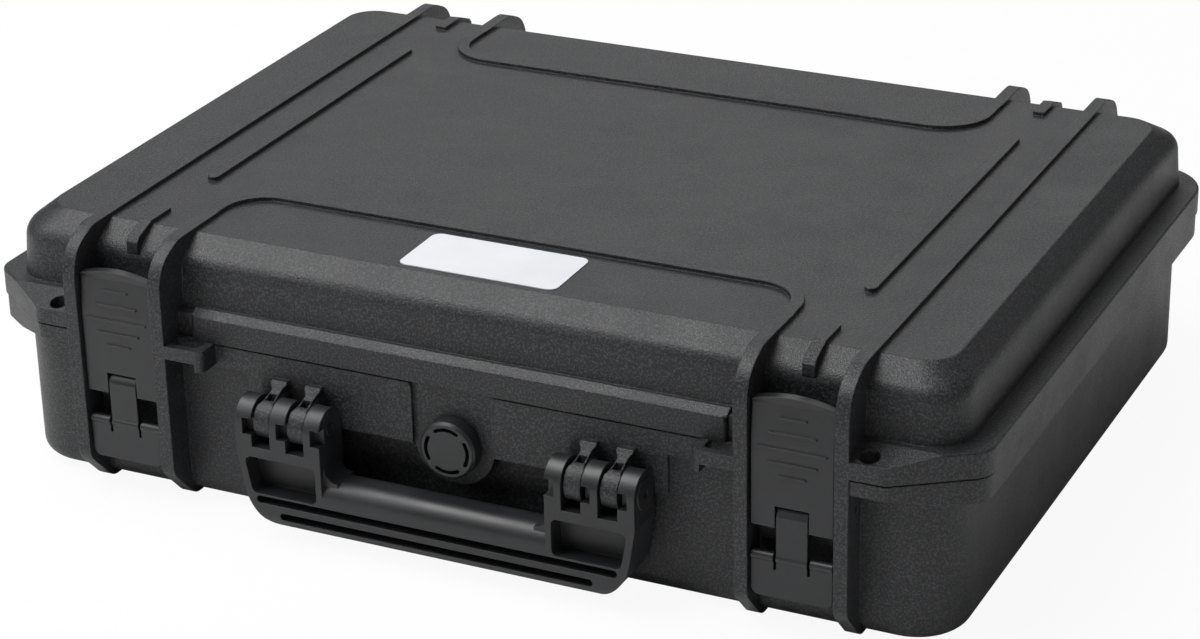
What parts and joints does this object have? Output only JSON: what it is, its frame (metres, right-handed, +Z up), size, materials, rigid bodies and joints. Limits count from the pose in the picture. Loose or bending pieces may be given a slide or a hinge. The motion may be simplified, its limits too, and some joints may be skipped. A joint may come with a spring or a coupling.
{
  "type": "laptop hard case",
  "caption": "Rigid plastic carrying case for a laptop, with hinged lid, draw latches, folding handle, pressure valve, padlock holes and foam lining.",
  "frame": {"origin": "centre of the footprint, on the plane of the skids the case lies on", "axes": "+Z up out of the lid, latches and handle towards -Y, hinges towards +Y, +X along the width"},
  "size_m": [0.502, 0.39, 0.1315],
  "materials": {
    "shell": "fine pebbled moulded texture",
    "seal_rubber": "matt",
    "label_plate": "satin, bare",
    "pin_steel": "blackened",
    "latch": "satin",
    "handle": "satin",
    "valve_plastic": "satin",
    "membrane": "woven",
    "foam": "open cell"
  },
  "bodies": {
    "base": {"base_shell": "shell", "hinge_pin_left": "pin_steel", "hinge_pin_right": "pin_steel", "lever_pin_left": "pin_steel", "lever_pin_right": "pin_steel", "valve_body": "valve_plastic", "valve_seal": "seal_rubber", "valve_membrane": "membrane", "valve_nut": "valve_plastic", "valve_cap": "valve_plastic", "base_foam_pad": "foam", "base_foam_frame": "foam"},
    "lid": {"lid_shell": "shell", "lid_gasket": "seal_rubber", "name_plate": "label_plate", "lid_foam": "foam"},
    "handle": {"handle": "handle", "handle_pin_left": "pin_steel", "handle_pin_right": "pin_steel"},
    "lever_left": {"latch_lever_left": "latch"},
    "lever_right": {"latch_lever_right": "latch"},
    "hook_left": {"latch_hook_left": "latch", "hook_pin_left": "pin_steel"},
    "hook_right": {"latch_hook_right": "latch", "hook_pin_right": "pin_steel"}
  },
  "joints": [
    {"name": "lid_hinge", "type": "hinge", "parent": "base", "child": "lid", "pos_m": [0, 0.1895, 0.0849], "axis": [-1, 0, 0], "range_deg": [0, 100]},
    {"name": "handle_pivot", "type": "hinge", "parent": "base", "child": "handle", "pos_m": [0, -0.1845, 0.0584], "axis": [-1, 0, 0], "range_deg": [0, 110]},
    {"name": "lever_left_pivot", "type": "hinge", "parent": "base", "child": "lever_left", "pos_m": [-0.17005, -0.1755, 0.0656], "axis": [-1, 0, 0], "range_deg": [0, 70]},
    {"name": "lever_right_pivot", "type": "hinge", "parent": "base", "child": "lever_right", "pos_m": [0.17005, -0.1755, 0.0656], "axis": [-1, 0, 0], "range_deg": [0, 70]},
    {"name": "hook_left_pivot", "type": "hinge", "parent": "lever_left", "child": "hook_left", "pos_m": [-0.17005, -0.1758, 0.0571], "axis": [1, 0, 0], "range_deg": [0, 70]},
    {"name": "hook_right_pivot", "type": "hinge", "parent": "lever_right", "child": "hook_right", "pos_m": [0.17005, -0.1758, 0.0571], "axis": [1, 0, 0], "range_deg": [0, 70]}
  ],
  "couplings": [
    {"joint": "hook_left_pivot", "follows": "lever_left_pivot", "ratio": 1},
    {"joint": "hook_right_pivot", "follows": "lever_right_pivot", "ratio": 1}
  ]
}
